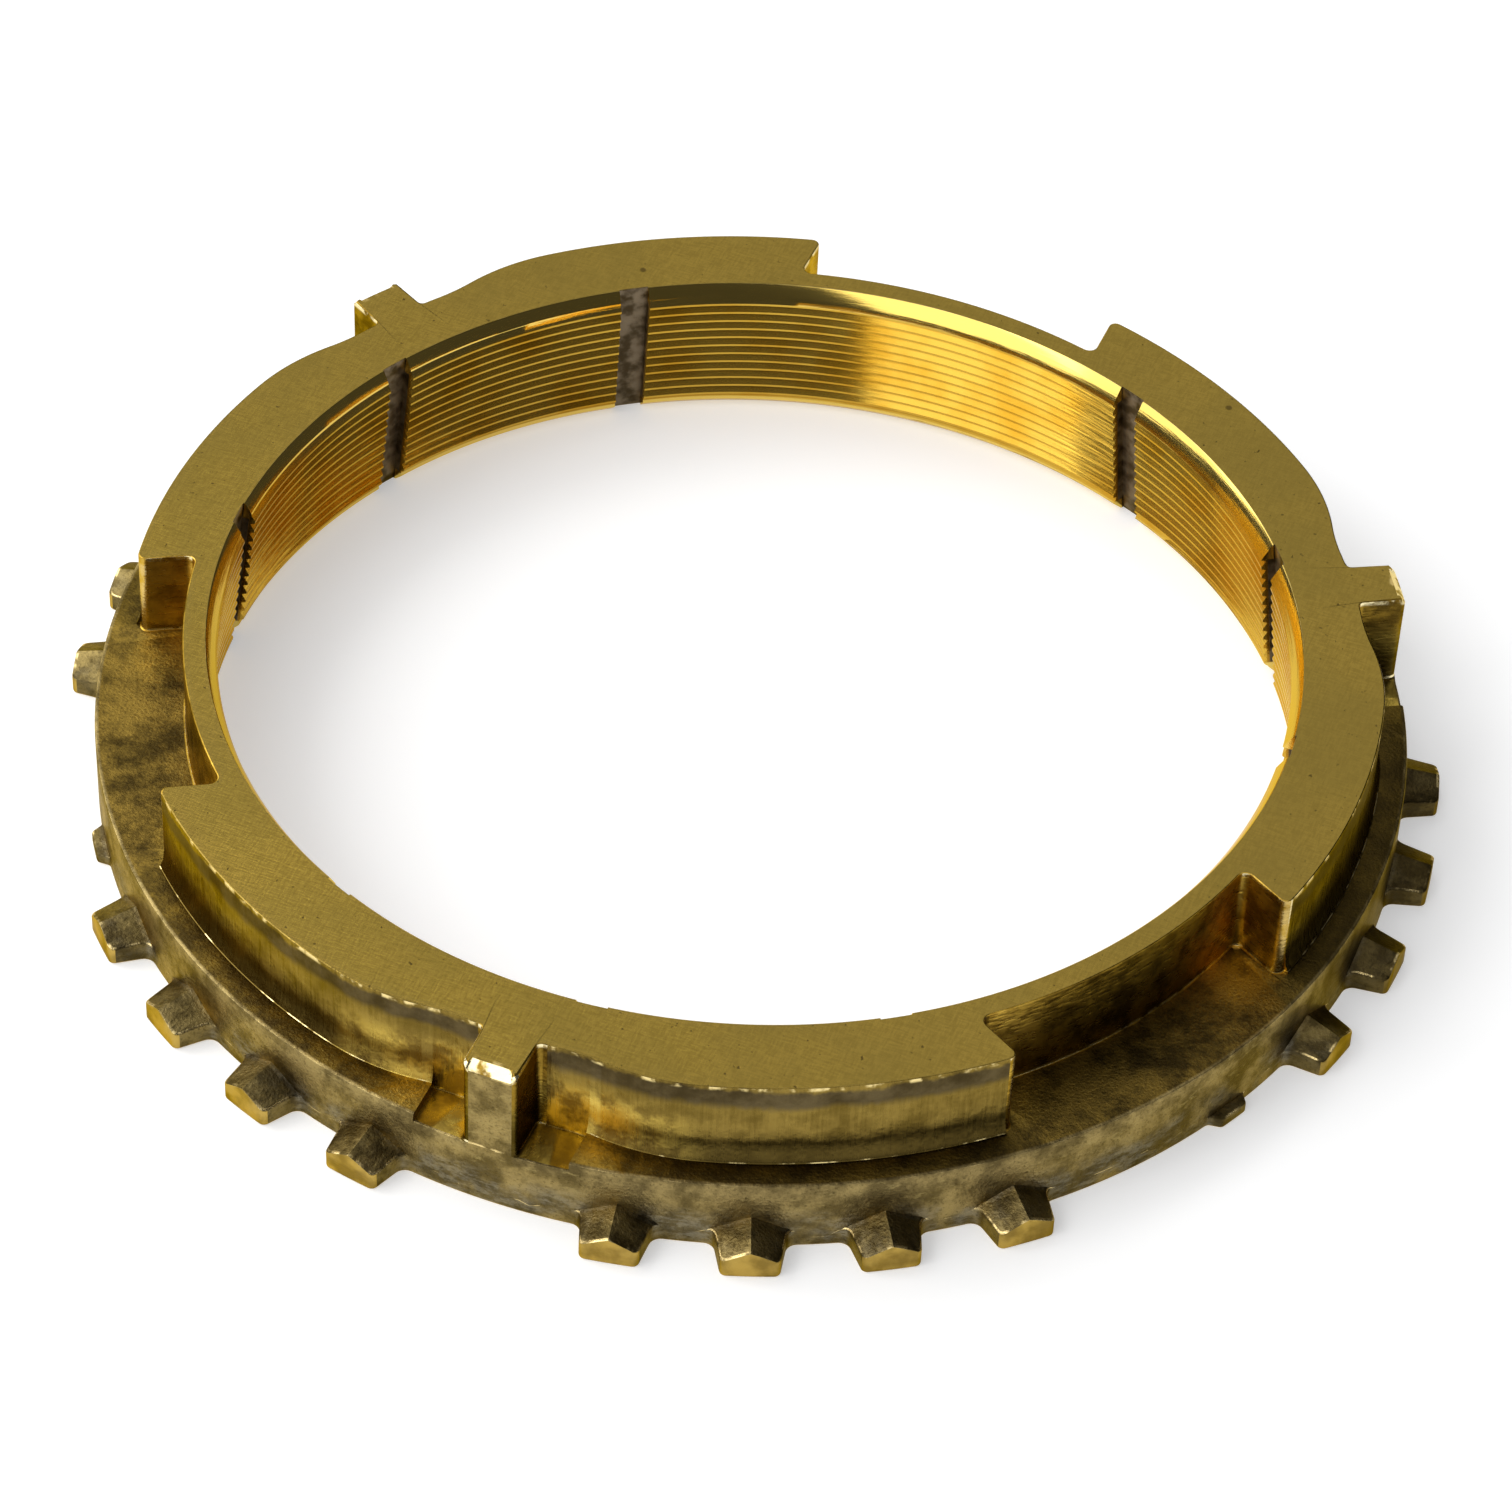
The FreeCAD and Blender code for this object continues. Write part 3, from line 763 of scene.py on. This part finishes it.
def bored(name):
    """The cut taper: orange gold, deeper in the thread's roots, with dull dirt and painted shade in
    the slots.

    Depth is measured outward from the taper. A thin film makes the taper a little less metallic.
    """
    finish = Finish(name)
    depth = finish.radius + finish.z * CONE_SLOPE - (CONE_TOP_RADIUS + CONE_TOP_HEIGHT * CONE_SLOPE)
    below_lead_in = 1 - finish.z.ramp(CONE_TOP_HEIGHT - 0.05, CONE_TOP_HEIGHT + 0.05)
    on_taper = finish.z.ramp(BEVEL_HEIGHT, BEVEL_HEIGHT + 0.1) * below_lead_in
    slot = on_taper * depth.ramp(0.28, 0.4) + (1 - on_taper) * depth.ramp(0.66, 0.72)
    root = on_taper * depth.ramp(0.16, 0.23)
    marks = finish.streaks(10.0, 3.0, 7.0, 3.0)
    stain = finish.noise(0.3, 4.0).ramp(0.4, 0.7)
    gold = finish.mix(stain, (0.64, 0.40, 0.05), (0.56, 0.30, 0.02))
    gold = finish.mix(1 - on_taper, gold, (0.76, 0.54, 0.12))
    gold = finish.mix(0.75 * root, gold, (0.30, 0.14, 0.008))
    # Dark slots: dirt on their floors, and painted shade on their walls and floors.
    slot_dirt_and_shade_noise = finish.noise(1.2, 4.0).ramp(0.35, 0.65)
    slot_dirt_and_shade = finish.mix(slot_dirt_and_shade_noise, (0.05, 0.035, 0.018), (0.19, 0.15, 0.10))
    colour = finish.mix(slot, gold, slot_dirt_and_shade)
    roughness = 0.1 + 0.08 * marks + 0.25 * slot
    return finish.complete(colour, roughness, marks, 0.008, 1 - 0.2 * on_taper)


def forged(name):
    """Forging skin: dull brown, mottled and pitted, etched grey low down, and satin on the teeth.

    The ledge is nearly black where oil has dried, and rubbed golden near pockets and notch ends.
    """
    finish = Finish(name)
    patches = finish.noise(0.55, 6.0, roughness=0.65)
    grain = finish.noise(6.0, 5.0, roughness=0.6)
    scratches = finish.noise(0.9, 5.0, (1.0, 1.0, 3.0), 0.7)
    colour = finish.mix(patches.ramp(0.36, 0.66), (0.12, 0.088, 0.034), (0.36, 0.27, 0.105))
    colour = finish.mix(0.7 * scratches.ramp(0.56, 0.7), colour, (0.36, 0.28, 0.11))
    low = (1 - finish.z.ramp(1.2, 2.8)) * finish.noise(0.4, 3.0).ramp(0.4, 0.6)
    etched = finish.mix(scratches.ramp(0.42, 0.58), (0.05, 0.046, 0.036), (0.2, 0.19, 0.15))
    colour = finish.mix(0.65 * low, colour, etched)
    teeth = finish.radius.ramp(FLANGE_RADIUS + 0.1, FLANGE_RADIUS + 0.3)
    satin = finish.mix(patches.ramp(0.4, 0.6), (0.06, 0.042, 0.013), (0.19, 0.14, 0.048))
    colour = finish.mix(0.8 * teeth, colour, satin)
    inside_edge = 1 - finish.radius.ramp(FLANGE_RADIUS - 0.25, FLANGE_RADIUS - 0.1)
    below_lip = 1 - finish.z.ramp(FLANGE_TOP + 0.1, FLANGE_TOP + 0.2)
    ledge = finish.z.ramp(FLANGE_TOP - 0.1, FLANGE_TOP - 0.02) * below_lip * inside_edge
    oil = finish.noise(0.4, 6.0, roughness=0.75).ramp(0.34, 0.66)
    in_notch = finish.from_lug.ramp(43.5, 45.0)
    ledge_brown = finish.mix(in_notch, (0.16, 0.105, 0.02), (0.23, 0.15, 0.03))
    floor = finish.mix(oil, ledge_brown, (0.045, 0.03, 0.009))
    notch_end = in_notch * (1 - finish.from_lug.ramp(46.0, 53.0))
    notch_end = notch_end * (1 - finish.radius.ramp(30.8, 32.8))
    rubbed_and_highlit = notch_end + 1 - finish.from_lug.ramp(8.5, 12.0)
    floor = finish.mix(rubbed_and_highlit * (0.9 - 0.6 * oil), floor, (0.46, 0.30, 0.05))
    colour = finish.mix(ledge, colour, floor)
    colour = finish.mix(0.5 * grain.ramp(0.52, 0.7), colour, (0.05, 0.036, 0.014))
    # Painted shade: one side of the ring is darkened in the colour.
    colour = finish.mix(0.5 * finish.painted_shade_side, colour, (0.05, 0.034, 0.012))
    # Worn edges: lighter worn metal, with painted glints on top of it.
    worn_and_glinting = finish.wear_and_glint(0.44, 0.6)
    colour = finish.mix(worn_and_glinting, colour, (0.80, 0.62, 0.28))
    return finish.complete(colour, 0.27 + 0.2 * grain - 0.1 * worn_and_glinting, grain + 0.6 * scratches, 0.04)


def turned_wall(name):
    """The wall: gold with fine upright marks and a purple grey band near the top. Its foot is
    darkened as painted shade, and low down beside the lugs it has a painted orange highlight.
    """
    finish = Finish(name)
    marks = finish.streaks(190.0, 0.5, 0.35, 4.0)
    waver = finish.noise(0.6, 5.0, roughness=0.6) - 0.5
    upright = (0.3 * marks + 0.7 * waver + 0.35).ramp(0.35, 0.65)
    gold = finish.mix(upright, (0.15, 0.10, 0.02), (0.29, 0.20, 0.045))
    patina = finish.mix(waver.ramp(-0.2, 0.2), (0.04, 0.03, 0.017), (0.105, 0.082, 0.047))
    height = finish.z + 1.2 * waver
    band = height.ramp(7.6, 8.2) * (1 - height.ramp(8.8, 9.1))
    # Painted shade where the wall's foot meets the flange.
    foot = 1 - height.ramp(5.2, 6.0)
    # Painted orange highlight: low down near the lugs the wall is lightened in its colour.
    rubbed_and_highlit = (1 - finish.from_lug.ramp(10.0, 19.0)) * (1 - height.ramp(6.2, 7.6))
    colour = finish.mix(0.85 * band, gold, patina)
    # Painted shade: the foot is darkened in the colour.
    colour = finish.mix(0.75 * foot, colour, (0.08, 0.055, 0.014))
    # Colour of the painted orange highlight.
    bright = finish.mix(waver.ramp(-0.1, 0.08), (0.24, 0.16, 0.035), (0.70, 0.50, 0.10))
    colour = finish.mix(0.9 * rubbed_and_highlit, colour, bright)
    # Painted shade: one side of the ring is darkened in the colour.
    colour = finish.mix(0.45 * finish.painted_shade_side, colour, (0.045, 0.034, 0.018))
    # Worn edges: lighter worn metal, with painted glints on top of it.
    worn_and_glinting = finish.wear_and_glint(0.5, 0.62)
    colour = finish.mix(worn_and_glinting, colour, (0.85, 0.68, 0.30))
    roughness = 0.22 + 0.12 * marks + 0.1 * band - 0.1 * worn_and_glinting
    return finish.complete(colour, roughness, 0.5 * marks + 2.0 * waver, 0.03)


FACE_DENTS = ((57.9, 31.4), (123.9, 29.6))


def faced(name):
    """The top face: olive gold satin, hatched by the facing cut and by rubbing, with specks.

    Its two dents are given by their angle and radius.
    """
    finish = Finish(name)
    lay = finish.noise(1.0, 2.0, (1.4, 9.0, 1.0))
    cross = finish.noise(1.0, 2.0, (9.0, 1.4, 1.0))
    cloud = finish.noise(0.16, 3.0).ramp(0.3, 0.7)
    hatched = (0.5 * lay + 0.5 * cross).ramp(0.36, 0.64)
    colour = finish.mix(0.2 + 0.6 * hatched, (0.205, 0.136, 0.022), (0.305, 0.208, 0.038))
    colour = finish.mix(0.5 * cloud, colour, (0.19, 0.134, 0.026))
    specks = finish.noise(3.2, 2.0).ramp(0.72, 0.76)
    for angle, radius in FACE_DENTS:
        dent = radius * turned(angle)
        x, y = finish.x - dent.real, finish.y - dent.imag
        specks = specks.maths("MAXIMUM", 1 - (x * x + y * y).ramp(0.01, 0.05))
    colour = finish.mix(0.8 * specks, colour, (0.07, 0.045, 0.01))
    # Worn edges: lighter worn metal, with painted glints on top of it.
    worn_and_glinting = finish.wear_and_glint(0.5, 0.62)
    colour = finish.mix(0.7 * worn_and_glinting, colour, (0.7, 0.53, 0.2))
    relief = 0.6 * lay + 0.6 * cross - specks
    return finish.complete(colour, 0.17 + 0.08 * lay, relief, 0.01, 0.8)


def milled(name):
    """Milled pockets, lug sides and notches: bright yellow low down, browner towards the top.

    The lugs' sides are dark at the foot, and the notches' ends carry a painted golden highlight.
    """
    finish = Finish(name)
    marks = finish.noise(1.3, 4.0, (1.0, 1.0, 4.0))
    cloud = finish.noise(0.7, 5.0, roughness=0.6)
    near_lug = 1 - finish.from_lug.ramp(14.0, 20.0)
    bright = finish.mix(marks.ramp(0.35, 0.65), (0.44, 0.31, 0.055), (0.28, 0.19, 0.035))
    brown = finish.mix(cloud.ramp(0.35, 0.6), (0.10, 0.06, 0.01), (0.30, 0.185, 0.025))
    share = near_lug * (1 - (finish.z + 1.5 * cloud).ramp(6.2, 8.4))
    colour = finish.mix(share, brown, bright)
    aside = finish.radius * (finish.from_lug * (np.pi / 180)).maths("SINE")
    on_lug = 1 - aside.ramp(LUG_HALF_WIDTH + 0.05, LUG_HALF_WIDTH + 0.2)
    lug_foot = on_lug * (1 - (finish.z + cloud).ramp(5.5, 8.5))
    colour = finish.mix(0.9 * lug_foot, colour, (0.04, 0.026, 0.006))
    # Painted golden highlight on the notches' ends.
    past_end = (finish.from_lug - 4.0 * cloud).ramp(43.5, 49.0)
    notch_end = finish.from_lug.ramp(42.0, 43.0) * (1 - past_end)
    rubbed_and_highlit = finish.mix(cloud.ramp(0.35, 0.6), (0.34, 0.20, 0.025), (0.64, 0.41, 0.065))
    colour = finish.mix(0.85 * notch_end, colour, rubbed_and_highlit)
    # Worn edges: lighter worn metal, with painted glints on top of it.
    worn_and_glinting = finish.wear_and_glint(0.38, 0.5)
    colour = finish.mix(worn_and_glinting, colour, (0.92, 0.80, 0.46))
    return finish.complete(colour, 0.2 + 0.18 * marks - 0.08 * worn_and_glinting, marks + cloud, 0.03)


def turned_end(name):
    """The teeth's ends and the bottom face: satin gold from the lathe."""
    finish = Finish(name)
    marks = finish.streaks(6.0, 8.0, 8.0)
    cloud = finish.noise(0.8, 4.0).ramp(0.35, 0.65)
    under = 1 - finish.z.ramp(0.03, 0.08)
    share = cloud - under * (0.8 * cloud - 0.6 * marks)
    colour = finish.mix(share, (0.25, 0.165, 0.036), (0.48, 0.325, 0.075))
    # Painted shade: one side of the ring is darkened in the colour.
    colour = finish.mix(0.6 * finish.painted_shade_side, colour, (0.05, 0.034, 0.012))
    # Worn edges: lighter worn metal, with painted glints on top of it.
    worn_and_glinting = finish.wear_and_glint(0.36, 0.5)
    colour = finish.mix(worn_and_glinting, colour, (0.72, 0.56, 0.24))
    return finish.complete(colour, 0.26 + 0.14 * marks - 0.08 * worn_and_glinting, marks, 0.015)


for make, name in (
    (bored, "brass_bored"),
    (forged, "brass_forged"),
    (turned_wall, "brass_turned_wall"),
    (faced, "brass_faced"),
    (milled, "brass_milled"),
    (turned_end, "brass_turned_end"),
):
    ring.data.materials.append(make(name))


# The studio: a pale floor, soft panels all along the left, weak ones behind and above, and a dim
# room. The floor shows white to the camera, and darker under the ring.
FLOOR_COLOUR = (0.72, 0.72, 0.72, 1.0)
FLOOR_GLOW = 0.42
FLOOR_HALF = 1.5
FLOOR_LEVEL = -0.00002
ROOM_COLOUR = (0.065, 0.065, 0.069, 1.0)
PANEL_DISTANCE = 1.0
PANEL_RADIANCE = 2.0


def floor_material():
    """Pale matt floor that adds a little white of its own for what the camera sees."""
    shader = Shader("studio_floor")
    camera_ray, glossy_ray, through_ray = (
        shader.node("ShaderNodeLightPath", {}, {}, f"Is {kind} Ray")
        for kind in ("Camera", "Glossy", "Transmission")
    )
    seen = camera_ray.maths("MAXIMUM", glossy_ray).maths("MAXIMUM", through_ray)
    shader.put(shader.surface["Base Color"], FLOOR_COLOUR)
    shader.put(shader.surface["Roughness"], 0.9)
    shader.put(shader.surface["Specular IOR Level"], 0.0)
    glow = shader.mix(seen, (0.0, 0.0, 0.0), (1.0, 1.0, 1.0))
    shader.put(shader.surface["Emission Color"], glow)
    shader.put(shader.surface["Emission Strength"], FLOOR_GLOW)
    return shader.material


floor_mesh = bpy.data.meshes.new("studio_floor")
floor_signs = ((-1, -1), (1, -1), (1, 1), (-1, 1))
floor_corners = [(x * FLOOR_HALF, y * FLOOR_HALF, FLOOR_LEVEL) for x, y in floor_signs]
floor_mesh.from_pydata(floor_corners, [], [(0, 1, 2, 3)])
floor_mesh.materials.append(floor_material())
floor = bpy.data.objects.new("studio_floor", floor_mesh)
bpy.context.scene.collection.objects.link(floor)

world = bpy.data.worlds.new("studio_room")
world.use_nodes = True
world.node_tree.nodes["Background"].inputs["Color"].default_value = ROOM_COLOUR
bpy.context.scene.world = world


def direction(azimuth, elevation):
    """Unit vector towards an azimuth and elevation in degrees, the azimuth from +X towards +Y."""
    level = turned(azimuth) * np.cos(np.radians(elevation))
    return Vector((level.real, level.imag, np.sin(np.radians(elevation))))


def soft_panel(name, azimuth, elevation, width, height, radiance):
    """Rectangular lamp that faces the ring: its power is pi times its area times its radiance."""
    lamp = bpy.data.lights.new(name, "AREA")
    lamp.shape = "RECTANGLE"
    lamp.size = width
    lamp.size_y = height
    lamp.energy = np.pi * width * height * radiance
    holder = bpy.data.objects.new(name, lamp)
    way = direction(azimuth, elevation)
    holder.location = way * PANEL_DISTANCE
    holder.rotation_euler = way.to_track_quat("Z", "Y").to_euler()
    bpy.context.scene.collection.objects.link(holder)


soft_panel("left_panel", 162.0, 38.0, 0.98, 0.92, PANEL_RADIANCE)
soft_panel("middle_panel", 203.0, 38.0, 0.98, 0.92, PANEL_RADIANCE)
soft_panel("front_panel", 248.0, 35.0, 0.8, 1.0, PANEL_RADIANCE)
soft_panel("back_panel", 113.0, 47.0, 0.8, 0.75, 0.45 * PANEL_RADIANCE)
soft_panel("top_panel", 0.0, 90.0, 0.8, 0.8, 0.4 * PANEL_RADIANCE)


# The camera stands where the photograph was taken from, above the ring's front and a little to the
# right, as fitted to the ring's circles there. It is rolled by a few degrees and has a long lens.
CAMERA_AZIMUTH = 19.897 - 90
CAMERA_ELEVATION = 43.5383
CAMERA_DISTANCE = 0.27648
CAMERA_LENS = 132.03
CAMERA_SENSOR = 36.0
CAMERA_ROLL = np.radians(2.7616)
LOOKED_AT = Vector((0.00353, -0.00886, RING_HEIGHT * MM))
back = direction(CAMERA_AZIMUTH, CAMERA_ELEVATION)
level_right = Vector((0, 0, 1)).cross(back).normalized()
level_up = back.cross(level_right)
right = level_right * np.cos(CAMERA_ROLL) + level_up * np.sin(CAMERA_ROLL)
up = level_up * np.cos(CAMERA_ROLL) - level_right * np.sin(CAMERA_ROLL)
camera = bpy.data.objects.new("camera", bpy.data.cameras.new("camera"))
camera.data.lens = CAMERA_LENS
camera.data.sensor_width = CAMERA_SENSOR
camera.matrix_world = Matrix((right, up, back)).transposed().to_4x4()
camera.location = LOOKED_AT + back * CAMERA_DISTANCE
bpy.context.scene.collection.objects.link(camera)
bpy.context.scene.camera = camera
bpy.context.scene.view_settings.view_transform = "Standard"
